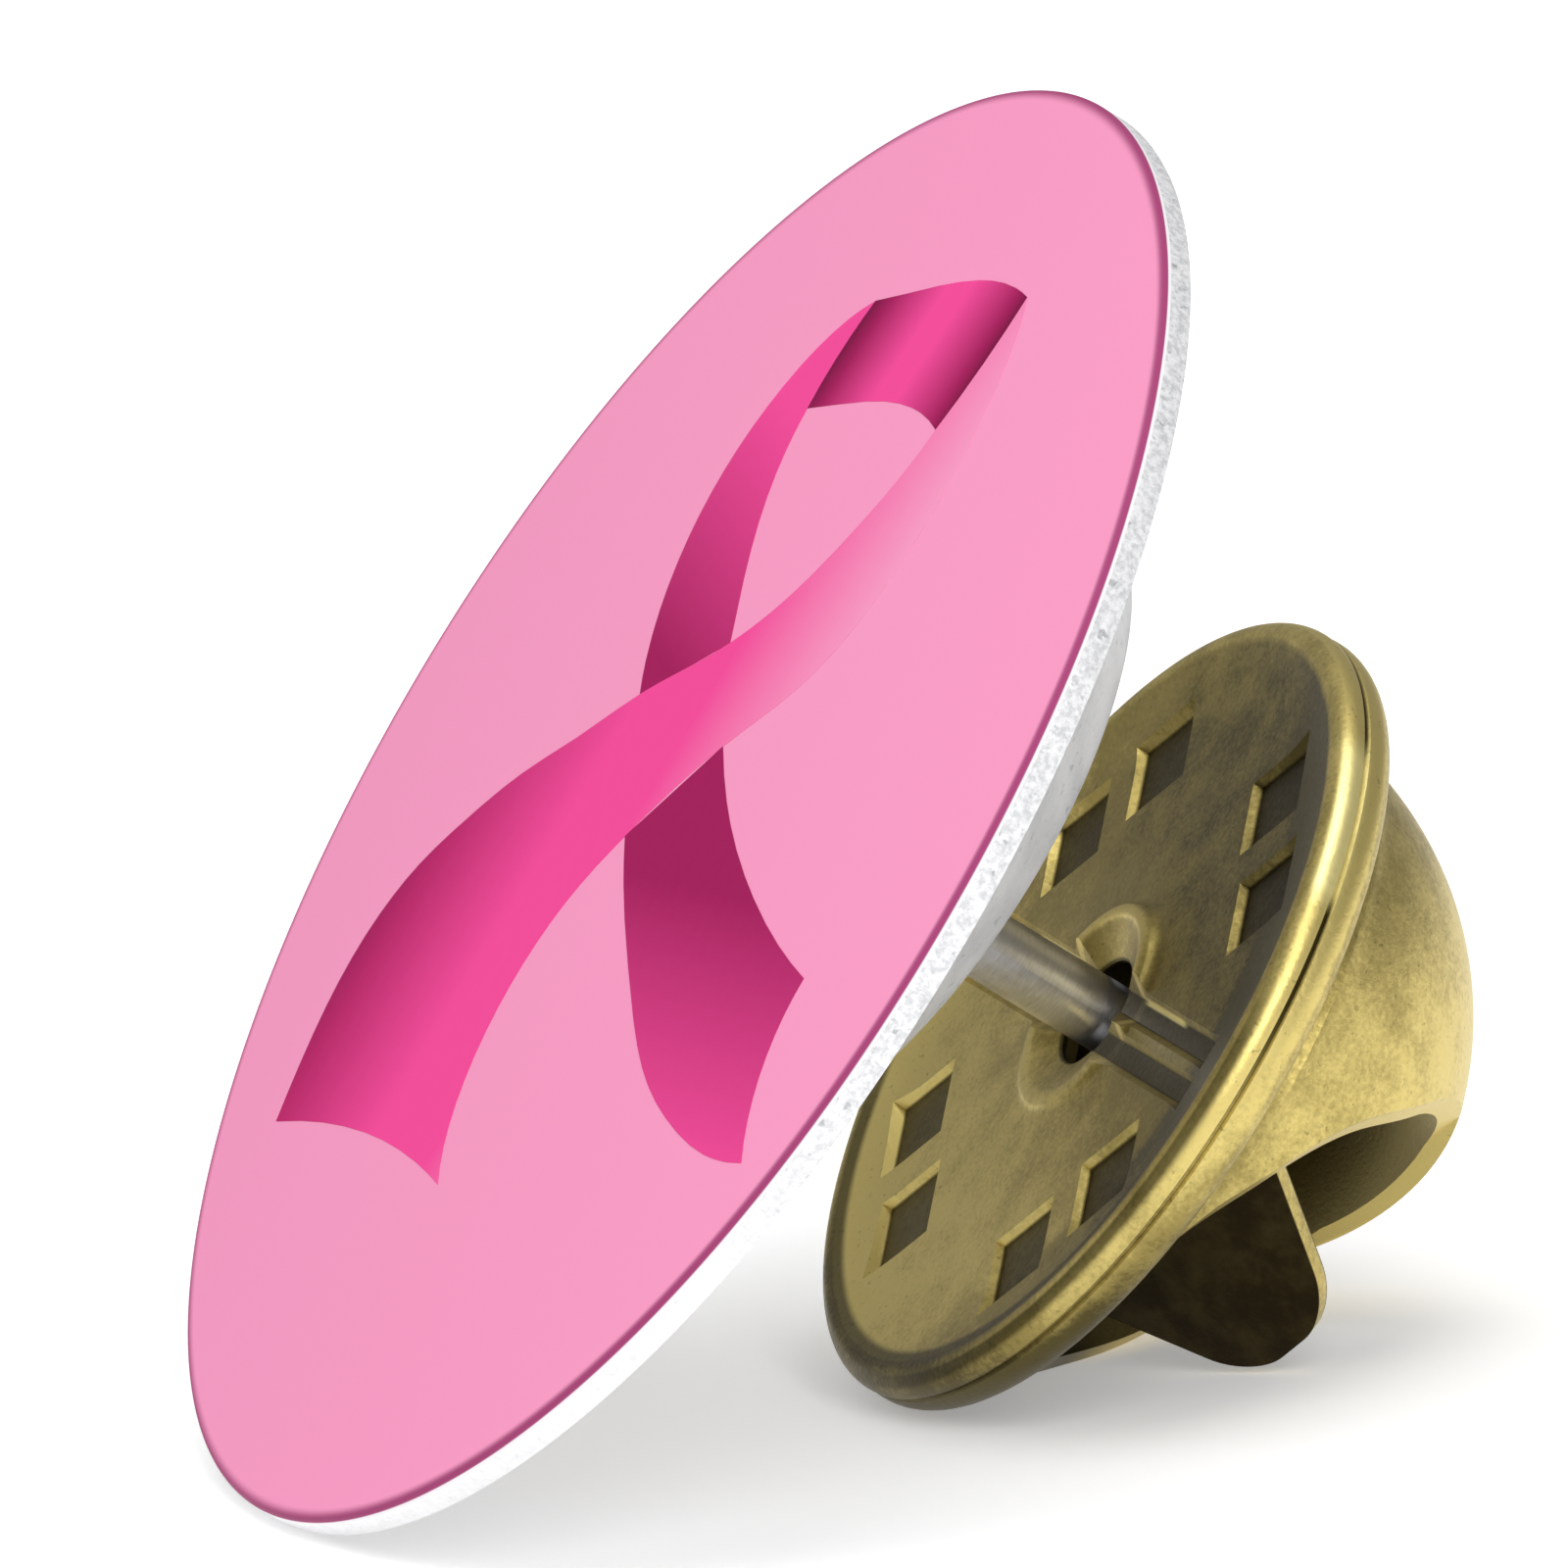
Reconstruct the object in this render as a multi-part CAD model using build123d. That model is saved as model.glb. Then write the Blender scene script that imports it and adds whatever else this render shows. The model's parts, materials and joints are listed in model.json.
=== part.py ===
from build123d import *
import math
import os

# Driving sizes of the pin, in millimetres, and angles, in degrees
face_diameter = 22.2
print_thickness = 0.12
print_edge_round = 0.08
ink_thickness = 0.03
base_thickness = 0.38
base_edge_round = 0.1
flare_inset = 0.2
flare_middle_diameter = 15.6
flare_neck_diameter = 11.6
flare_top_diameter = 9.2
flare_middle_height = 1.1
flare_neck_height = 2.0
flare_top_height = 2.85
flare_middle_rise = 0.55
flare_neck_rise = 1.15
flare_top_rise = 1.6
flare_top_round = 0.35
post_rise = 0.55
post_diameter = 1.0
post_reach = 5.75
post_seat_depth = 0.9
post_seat_clearance = 0.02
post_point_length = 1.1
post_point_diameter = 0.35

# Driving sizes of the clutch
cloth_gap = 3.3
clutch_diameter = 12.0
plate_thickness = 0.3
bead_radius = 0.45
hole_diameter = 1.6
lip_radius = 0.2
lip_overlap = 0.08
flange_thickness = 0.25
flange_overlap = 0.35
sheet_clearance = 0.025
skirt_gap = 0.12
cap_wall = 0.3
dome_radius = 5.0
dome_center_height = 0.38
shoulder_height = 1.35

# The cut that opens each side of the dome, seen from the side, as radius and height
window_sill = [(1.26, 3.95), (1.81, 3.50), (2.86, 2.50), (3.70, 1.85), (4.78, 1.12), (5.60, 0.95)]
near_strap_edge = (0.15, 4.95)
far_strap_edge = (1.45, 3.85)

# Pressed pattern of the clutch's face
diamond_across = 1.9
diamond_circle_radius = 4.2
diamond_depth = 0.13
diamond_pairs = 4
diamond_half_spread = 13.5
diamond_turn = 5.0
groove_length = 9.4
groove_width = 0.26
groove_spacing = 0.64
groove_depth = 0.12

# Driving sizes of the two sprung wings
wing_turn = 45.0
wing_thickness = 0.28
jaw_width = 3.0
jaw_half_gap = 0.25
jaw_clearance = 0.05
foot_height = 1.0
heel_radius = 2.28
shoulder_width = 4.3
shoulder_low = 0.75
shoulder_high = 1.25
shoulder_round = 0.3
tip_width = 1.75
tip_radius = 3.47
tip_height = 4.27
tip_round = 0.6
pivot_reach = 0.9

# How the pin lies on three points: the slope of its axis, and its turn about that axis
rest_slope = 39.19
rest_turn = -2.4

# Sizes that follow from the driving ones
face_radius = face_diameter / 2
back_depth = print_thickness + base_thickness
flare_base_diameter = face_diameter - 2 * flare_inset
flare_top_depth = back_depth + flare_top_height
post_radius = post_diameter / 2
plate_depth = flare_top_depth + cloth_gap
bead_ring_radius = clutch_diameter / 2 - bead_radius
flange_low = plate_thickness + sheet_clearance
flange_high = flange_low + flange_thickness
bead_height = bead_radius
pocket_high = flange_high + sheet_clearance
skirt_radius = bead_ring_radius - bead_radius - skirt_gap
flange_radius = skirt_radius + flange_overlap
hole_radius = hole_diameter / 2
wing_rise = tip_height - foot_height
wing_run = tip_radius - heel_radius
wing_lean = math.atan2(wing_run, wing_rise)
wing_reach = math.hypot(wing_run, wing_rise)
pivot_radius = heel_radius + pivot_reach * math.sin(wing_lean)
pivot_height = foot_height + pivot_reach * math.cos(wing_lean)

# The ribbon's outlines, as shares of the face's radius: x to the right, y to the top
fold_top = [(-0.293, 0.656), (-0.091, 0.723), (0.029, 0.750), (0.152, 0.752)]
fold_right = [(0.152, 0.752), (0.139, 0.644), (0.117, 0.556)]
fold_bottom = [(0.117, 0.556), (0.010, 0.565), (-0.096, 0.553), (-0.197, 0.529), (-0.303, 0.500)]
fold_left = [(-0.303, 0.500), (-0.306, 0.577), (-0.293, 0.656)]
back_outer = [(-0.293, 0.656), (-0.370, 0.587), (-0.418, 0.500), (-0.440, 0.385), (-0.428, 0.298),
              (-0.385, 0.202), (-0.288, 0.093)]
back_inner = [(-0.111, 0.204), (-0.202, 0.298), (-0.276, 0.404), (-0.303, 0.500)]
front_upper = [(0.117, 0.556), (0.101, 0.495), (0.058, 0.404), (0.000, 0.313), (-0.111, 0.204),
               (-0.288, 0.093), (-0.399, 0.007), (-0.500, -0.067), (-0.591, -0.159),
               (-0.649, -0.240), (-0.675, -0.346), (-0.654, -0.471), (-0.606, -0.589)]
front_end = [(-0.606, -0.589), (-0.385, -0.548), (-0.192, -0.537), (-0.008, -0.548)]
front_lower = [(-0.008, -0.548), (-0.125, -0.404), (-0.151, -0.288), (-0.135, -0.173),
               (-0.077, -0.065), (0.053, 0.091), (0.173, 0.202), (0.226, 0.288), (0.250, 0.385),
               (0.255, 0.481), (0.236, 0.587), (0.202, 0.683), (0.152, 0.752)]
tail_upper = [(0.053, 0.091), (0.202, 0.019), (0.394, -0.043), (0.558, -0.079), (0.702, -0.099)]
tail_end = [(0.702, -0.099), (0.716, -0.173), (0.760, -0.250), (0.844, -0.329)]
tail_lower = [(0.844, -0.329), (0.731, -0.344), (0.587, -0.337), (0.404, -0.300), (0.202, -0.216),
              (0.000, -0.113), (-0.077, -0.065)]


def revolved(profile):
    """Turns a profile drawn as radius and height into a solid about the axis."""
    return revolve(Plane.XZ * profile, axis=Axis.Z)


def printed_area(*sides):
    """A thin printed area on the face, bounded by smooth sides that meet at corners."""
    edges = [Spline(*[(x * face_radius, y * face_radius) for x, y in side]) for side in sides]
    return extrude(Face(Wire(edges)), amount=ink_thickness, dir=(0, 0, 1))


def between(side, first, last):
    """The stretch of a smooth side that runs between two of its points."""
    return side[side.index(first):side.index(last) + 1]


# The pin: its frame has its origin on the face, +z out of the face, +y to the artwork's top
def make_face_print():
    disc = Pos(0, 0, -print_thickness / 2) * Cylinder(face_radius, print_thickness)
    front_edge = disc.edges().group_by(Axis.Z)[-1]
    return fillet(front_edge, print_edge_round)


def make_base():
    disc = Pos(0, 0, -print_thickness - base_thickness / 2) * Cylinder(face_radius, base_thickness)
    disc = fillet(disc.edges().group_by(Axis.Z)[0], base_edge_round)
    sections = [
        Pos(0, 0, -back_depth) * Circle(flare_base_diameter / 2),
        Pos(0, flare_middle_rise, -back_depth - flare_middle_height) * Circle(flare_middle_diameter / 2),
        Pos(0, flare_neck_rise, -back_depth - flare_neck_height) * Circle(flare_neck_diameter / 2),
        Pos(0, flare_top_rise, -flare_top_depth) * Circle(flare_top_diameter / 2),
    ]
    flare = loft(sections)
    flare = fillet(flare.edges().group_by(Axis.Z)[0], flare_top_round)
    socket = Cylinder(post_radius + post_seat_clearance, post_seat_depth)
    socket = Pos(0, post_rise, -flare_top_depth + post_seat_depth / 2) * socket
    return disc + flare - socket


def make_post():
    shank_length = post_seat_depth + post_reach - post_point_length
    shank = Pos(0, 0, -shank_length / 2) * Cylinder(post_radius, shank_length)
    point = Cone(post_point_diameter / 2, post_radius, post_point_length)
    point = Pos(0, 0, -shank_length - post_point_length / 2) * point
    return Pos(0, post_rise, -flare_top_depth + post_seat_depth) * (shank + point)


def make_ribbon():
    """The printed looped ribbon, one solid for each of its visible stretches."""
    under_top = between(front_upper, back_inner[0], back_outer[-1])
    under_tail = between(front_lower, tail_lower[-1], tail_upper[0])
    front_strand = printed_area(front_upper, front_end, front_lower, fold_right)
    return {
        "ribbon_fold": printed_area(fold_top, fold_right, fold_bottom, fold_left),
        "ribbon_back_strand": printed_area(back_outer, under_top[::-1], back_inner, fold_left) - front_strand,
        "ribbon_front_strand": front_strand,
        "ribbon_back_tail": printed_area(tail_upper, tail_end, tail_lower, under_tail) - front_strand,
    }


# The clutch: its frame has its origin on its face, on the post's axis, +z away from the disc
def make_clutch_plate():
    face = Pos((hole_radius + bead_ring_radius) / 2, plate_thickness / 2) * Rectangle(
        bead_ring_radius - hole_radius, plate_thickness)
    bead = Pos(bead_ring_radius, bead_height) * Circle(bead_radius)
    lip = Pos(hole_radius + lip_radius, lip_overlap) * Circle(lip_radius)
    pocket_width = flange_radius + sheet_clearance
    pocket_height = pocket_high - plate_thickness
    pocket = Pos(pocket_width / 2, plate_thickness + pocket_height / 2) * Rectangle(
        pocket_width, pocket_height)
    plate = revolved(face + bead + lip - pocket)
    for pair in range(diamond_pairs):
        for side in (-diamond_half_spread, diamond_half_spread):
            angle = -math.radians((pair + 0.5) * 360 / diamond_pairs + diamond_turn + side)
            place = Pos(diamond_circle_radius * math.cos(angle), diamond_circle_radius * math.sin(angle))
            square = Rot(0, 0, 45) * Rectangle(diamond_across / math.sqrt(2), diamond_across / math.sqrt(2))
            plate -= place * extrude(square, amount=diamond_depth, taper=45)
    for side in (-groove_spacing / 2, groove_spacing / 2):
        groove_height = groove_depth + 2 * lip_radius
        groove = Box(groove_length, groove_width, groove_height)
        plate -= Pos(0, side, groove_depth - groove_height / 2) * groove
    return plate


def dome_width(radius, height):
    """How far from the axis the dome's surface is at a height."""
    return math.sqrt(radius ** 2 - (height - dome_center_height) ** 2)


def dome_arc(radius):
    """The dome's arc from its shoulder to its top."""
    start_angle = math.degrees(math.asin((shoulder_height - dome_center_height) / radius))
    return CenterArc((0, dome_center_height), radius, start_angle, 90 - start_angle)


def make_window_cutter(sill):
    """What is cut away above a window's sill, in a frame whose x axis points out of the window."""
    above = 2 * dome_radius
    outline = [Spline(*sill), Polyline(sill[-1], (sill[-1][0], above), (sill[0][0], above), sill[0])]
    return extrude(Plane.XZ * make_face(outline), amount=dome_radius, both=True)


def make_clutch_cap():
    inner_radius = dome_radius - cap_wall
    outer = dome_arc(dome_radius)
    inner = dome_arc(inner_radius)
    edges = [
        outer,
        Line((0, dome_center_height + dome_radius), (0, dome_center_height + inner_radius)),
        inner,
        Polyline(
            (dome_width(inner_radius, shoulder_height), shoulder_height),
            (skirt_radius - cap_wall, flange_high),
            (skirt_radius - cap_wall, flange_low),
            (flange_radius, flange_low),
            (flange_radius, flange_high),
            (skirt_radius, flange_high),
            (dome_width(dome_radius, shoulder_height), shoulder_height)),
    ]
    cap = revolved(make_face(edges))
    near_cutter = make_window_cutter([near_strap_edge] + window_sill)
    far_cutter = make_window_cutter([far_strap_edge] + window_sill[1:])
    return cap - Rot(0, 0, wing_turn) * near_cutter - Rot(0, 0, wing_turn + 180) * far_cutter


def make_wing():
    """One wing, jaw to tip, in a frame whose y axis points out along the wing."""
    sheet_plane = Plane(
        origin=(0, heel_radius, foot_height),
        x_dir=(1, 0, 0),
        z_dir=(0, -math.cos(wing_lean), math.sin(wing_lean)))
    half = [
        (jaw_width / 2, 0),
        (shoulder_width / 2, shoulder_low),
        (shoulder_width / 2, shoulder_high),
        (tip_width / 2, wing_reach),
    ]
    outline = make_face(Polyline(*half, *[(-x, y) for x, y in half[::-1]], half[0]))
    corners = outline.vertices().group_by(Axis.Y)
    outline = fillet(corners[-1], tip_round)
    outline = fillet(outline.vertices().group_by(Axis.Y)[1] + outline.vertices().group_by(Axis.Y)[2],
                     shoulder_round)
    blade = extrude(sheet_plane * outline, amount=wing_thickness / 2, both=True)
    foot_length = heel_radius - jaw_half_gap
    foot = Pos(0, jaw_half_gap + foot_length / 2, foot_height) * Box(jaw_width, foot_length, wing_thickness)
    notch = Pos(0, 0, foot_height) * Cylinder(post_radius + jaw_clearance, 4 * wing_thickness)
    return blade + foot - notch


# Where things lie: the pin rests on the disc's back edge, the dome and the near wing
clutch_place = Pos(0, post_rise, -plate_depth) * Rot(180, 0, 0)
standing = Rot(90 - rest_slope, 0, 0) * Rot(0, 0, rest_turn)

near_wing_place = clutch_place * Rot(0, 0, wing_turn - 90)
far_wing_place = clutch_place * Rot(0, 0, wing_turn + 90)

nodes = {
    "face_print": make_face_print(),
    **make_ribbon(),
    "base": make_base(),
    "post": make_post(),
    "clutch_plate": clutch_place * make_clutch_plate(),
    "clutch_cap": clutch_place * make_clutch_cap(),
    "near_wing": near_wing_place * make_wing(),
    "far_wing": far_wing_place * make_wing(),
}
nodes = {name: standing * shape for name, shape in nodes.items()}
box = Compound(list(nodes.values())).bounding_box()
to_floor = Pos(-(box.min.X + box.max.X) / 2, -(box.min.Y + box.max.Y) / 2, -box.min.Z)

os.makedirs("parts", exist_ok=True)
for name, shape in nodes.items():
    export_step(to_floor * shape, f"parts/{name}.step")


def report(label, place, point=(0, 0, 0), direction=(0, 0, 1)):
    """Prints a place and a direction of one of the frames in the standing part."""
    whole = to_floor * standing * place
    origin = (whole * Pos(*point)).position
    tip = (whole * Pos(*point) * Pos(*direction)).position
    print(label, [round(v, 4) for v in origin], "axis", [round(v, 5) for v in tip - origin])


print("box", [round(v, 3) for v in (box.size.X, box.size.Y, box.size.Z)])
report("post at the flare's top", Pos(0, post_rise, -flare_top_depth), (0, 0, 0), (0, 0, -1))
report("clutch face", clutch_place)
report("near wing pivot", near_wing_place, (0, pivot_radius, pivot_height), (1, 0, 0))
report("far wing pivot", far_wing_place, (0, pivot_radius, pivot_height), (1, 0, 0))
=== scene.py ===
import json
import math

import bmesh
import bpy
from mathutils import Matrix, Vector


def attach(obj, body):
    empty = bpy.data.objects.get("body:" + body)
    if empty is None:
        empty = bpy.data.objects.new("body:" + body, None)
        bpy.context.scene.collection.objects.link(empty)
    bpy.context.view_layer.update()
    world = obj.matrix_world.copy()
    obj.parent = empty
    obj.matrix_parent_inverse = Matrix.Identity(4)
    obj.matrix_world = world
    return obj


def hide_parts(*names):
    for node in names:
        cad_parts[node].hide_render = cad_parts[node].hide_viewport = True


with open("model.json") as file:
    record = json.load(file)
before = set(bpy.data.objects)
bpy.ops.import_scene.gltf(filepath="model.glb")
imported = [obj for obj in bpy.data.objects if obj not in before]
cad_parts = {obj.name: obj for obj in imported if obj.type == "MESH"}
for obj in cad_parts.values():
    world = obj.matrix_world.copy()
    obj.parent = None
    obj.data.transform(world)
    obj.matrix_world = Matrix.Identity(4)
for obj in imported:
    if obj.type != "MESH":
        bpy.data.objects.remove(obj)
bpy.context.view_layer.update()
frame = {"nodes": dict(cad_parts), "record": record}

# Sizes below are in millimetres and angles in degrees; the scene itself is in metres
millimetre = 0.001
meeting_points = 0.0005
smooth_angle = 30.0

# How the pin lies, as on its three resting points
rest_slope = 39.19
rest_turn = -2.4

# The face and the pale metal behind it
face_radius = 11.1
face_corners = 320
print_thickness = 0.12
print_edge_round = 0.08
ink_share = 0.2
rim_thickness = 0.38
rim_round = 0.1
flare_sections = [
    {"height": 0.0, "radius": 10.9, "rise": 0.0},
    {"height": 1.1, "radius": 7.8, "rise": 0.55},
    {"height": 2.0, "radius": 5.8, "rise": 1.15},
    {"height": 2.85, "radius": 4.6, "rise": 1.6},
]
flare_top_round = 0.2
flare_steps = 12
top_steps = 6
post_rise = 0.55
socket_radius = 0.52
socket_depth = 0.9
hole_corners = 64
cloth_gap = 3.3

# The clutch's plate
clutch_corners = 224
hole_radius = 0.8
plate_back = 0.3
plate_sink = 0.1
lip_ring_radius = 1.42
lip_radius = 0.17
lip_height = 0.07
lip_steps = (0.0, 0.15, 0.3, 0.45, 0.6, 0.75, 0.9)
lip_press = 0.85
funnel_height = 0.18
dish_start = 4.3
dish_slope = 16.0
rim_crest_radius = 0.3
seam_height = 0.3
seam_width = 0.08
seam_depth = 0.06
bead_ring_radius = 5.55
bead_radius = 0.45
bead_height = 0.45
pocket_radius = 5.355
pocket_height = 0.625
diamond_across = 1.9
diamond_circle_radius = 4.2
diamond_depth = 0.12
diamond_pairs = 4
diamond_half_spread = 13.5
diamond_turn = 5.0
groove_length = 9.4
groove_width = 0.3
groove_spacing = 0.64
groove_depth = 0.12
groove_wall_slope = 0.8
tool_clearance = 0.5

# The clutch's cap
cap_wall = 0.27
flange_radius = 5.33
flange_height = 0.6
skirt_radius = 4.95
neck_radius = 4.86
neck_height = 0.95
shoulder_radius = 4.95
shoulder_height = 1.3
dome_radius = 5.0
dome_center_height = 0.38
pole_angle = 89.5
pole_radius = 0.05
window_sill = [(1.26, 3.95), (1.81, 3.50), (2.86, 2.50), (3.70, 1.85), (4.78, 1.12), (5.60, 0.95)]
near_strap_edge = (0.15, 4.95)
far_strap_edge = (1.45, 3.85)

# The two sprung wings
wing_turn = 45.0
wing_thickness = 0.28
jaw_half_width = 1.5
jaw_half_gap = 0.25
jaw_clearance = 0.05
post_radius = 0.5
foot_height = 1.0
heel_radius = 2.28
heel_round = 0.45
shoulder_half_width = 2.15
shoulder_low = 0.75
shoulder_high = 1.25
tip_half_width = 0.875
tip_radius = 3.47
tip_height = 4.27
tip_round = 0.62
tip_end_half_width = 0.25
wing_edge_round = 0.05
bend_steps = 6
blade_steps = 28

# Sizes that follow
back_depth = print_thickness + rim_thickness
flare_top_depth = back_depth + flare_sections[-1]["height"]
plate_depth = flare_top_depth + cloth_gap
outer_radius = bead_ring_radius + bead_radius
rim_foot_radius = outer_radius - 0.45
wing_lean = math.atan2(tip_radius - heel_radius, tip_height - foot_height)
wing_reach = math.hypot(tip_radius - heel_radius, tip_height - foot_height)

# Where the pin, the clutch and the wings are: each place turns millimetres into the frame's metres
tip_back = Matrix.Rotation(math.radians(90 - rest_slope), 4, "X")
stance = tip_back @ Matrix.Rotation(math.radians(rest_turn), 4, "Z")
post_foot = Vector(frame["record"]["mounts"][0]["pos_m"])
foot_in_pin = Vector((0, post_rise, -flare_top_depth)) * millimetre
face_center = post_foot - stance.to_3x3() @ foot_in_pin
pin_place = Matrix.Translation(face_center) @ stance @ Matrix.Scale(millimetre, 4)
clutch_center = Matrix.Translation((0, post_rise, -plate_depth))
clutch_place = pin_place @ clutch_center @ Matrix.Rotation(math.pi, 4, "X")
near_wing_place = clutch_place @ Matrix.Rotation(math.radians(wing_turn - 90), 4, "Z")
far_wing_place = clutch_place @ Matrix.Rotation(math.radians(wing_turn + 90), 4, "Z")


# Working on one piece at a time
def only(piece):
    """Selects one object and nothing else."""
    bpy.ops.object.select_all(action="DESELECT")
    piece.select_set(True)
    bpy.context.view_layer.objects.active = piece


def new_piece():
    """The object that has just been added, opened for shaping with all of it selected."""
    piece = bpy.context.object
    bpy.ops.object.mode_set(mode="EDIT")
    bpy.ops.mesh.select_mode(type="VERT")
    bpy.ops.mesh.select_all(action="SELECT")
    return piece


def pick(piece, kind, passes):
    """Selects only the vertices, edges or faces whose middle and normal pass a test."""
    bpy.ops.mesh.select_mode(type=kind)
    bpy.ops.mesh.select_all(action="DESELECT")
    shape = bmesh.from_edit_mesh(piece.data)
    if kind == "FACE":
        for face in shape.faces:
            if passes(piece.matrix_world @ face.calc_center_median(), face.normal):
                face.select_set(True)
    if kind == "EDGE":
        for edge in shape.edges:
            ends = [piece.matrix_world @ vertex.co for vertex in edge.verts]
            if passes(ends[0], None) and passes(ends[1], None):
                edge.select_set(True)
    bmesh.update_edit_mesh(piece.data)


def draw_out(move, factor, center=(0, 0, 0)):
    """Extrudes what is selected by a move, and resizes it across the axis."""
    bpy.ops.mesh.extrude_region_move(TRANSFORM_OT_translate={"value": move})
    bpy.ops.transform.resize(value=(factor, factor, 1), center_override=center)


def close_up(reach=meeting_points):
    """Joins points that lie on each other and turns all faces outwards."""
    bpy.ops.mesh.select_all(action="SELECT")
    bpy.ops.mesh.remove_doubles(threshold=reach)
    bpy.ops.mesh.normals_make_consistent(inside=False)


def arc(center, radius, first, last, steps):
    """Points on an arc, as radius from the axis and height, from one angle to another."""
    angles = [math.radians(first + (last - first) * step / steps) for step in range(steps + 1)]
    return [(center[0] + radius * math.cos(a), center[1] + radius * math.sin(a)) for a in angles]


def turned(profile, closed=True):
    """A wall turned about the axis: one ring, drawn out along a profile of radius and height."""
    radius, height = profile[0]
    bpy.ops.mesh.primitive_circle_add(vertices=clutch_corners, radius=radius, location=(0, 0, height))
    piece = new_piece()
    for next_radius, next_height in profile[1:] + profile[:1] * closed:
        draw_out((0, 0, next_height - height), next_radius / radius)
        radius, height = next_radius, next_height
    close_up()
    bpy.ops.object.mode_set(mode="OBJECT")
    return piece


def add_modifier(piece, kind, **settings):
    """Adds a modifier with its settings and applies it."""
    only(piece)
    bpy.ops.object.modifier_add(type=kind)
    modifier = piece.modifiers[-1]
    for name, value in settings.items():
        setattr(modifier, name, value)
    bpy.ops.object.modifier_apply(modifier=modifier.name)


def cut(piece, cutter):
    """Cuts a tool's shape out of a piece and takes the tool away."""
    add_modifier(piece, "BOOLEAN", operation="DIFFERENCE", solver="EXACT", object=cutter)
    bpy.data.objects.remove(cutter)


def set_in_place(piece, name, place, finish):
    """Names a piece, puts it where it belongs and gives it its finish."""
    piece.name = name
    piece.matrix_world = place @ piece.matrix_world
    only(piece)
    bpy.ops.object.transform_apply(location=True, rotation=True, scale=True)
    bpy.ops.object.shade_smooth_by_angle(angle=math.radians(smooth_angle))
    piece.data.materials.clear()
    piece.data.materials.append(finish.material)


# Finishes
class Signal:
    """A value that varies over a surface, with the sums that nodes can do on it."""

    def __init__(self, finish, socket):
        self.finish = finish
        self.socket = socket

    def combine(self, operation, first, second):
        """What one sum makes of two values."""
        return self.finish.add("ShaderNodeMath", {"operation": operation}, {0: first, 1: second})

    def __add__(self, other):
        return self.combine("ADD", self, other)

    def __radd__(self, other):
        return self.combine("ADD", other, self)

    def __sub__(self, other):
        return self.combine("SUBTRACT", self, other)

    def __rsub__(self, other):
        return self.combine("SUBTRACT", other, self)

    def __mul__(self, other):
        return self.combine("MULTIPLY", self, other)

    def __rmul__(self, other):
        return self.combine("MULTIPLY", other, self)

    def __pow__(self, power):
        return self.combine("POWER", self, power)

    def size(self):
        """The value without its sign."""
        return self.combine("ABSOLUTE", self, 0.0)


def paint(red, green, blue):
    """A colour given as it looks on a screen, from 0 to 255, as the light it sends back."""
    shares = [value / 255 for value in (red, green, blue)]
    return [s / 12.92 if s <= 0.04045 else ((s + 0.055) / 1.055) ** 2.4 for s in shares] + [1.0]


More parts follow.
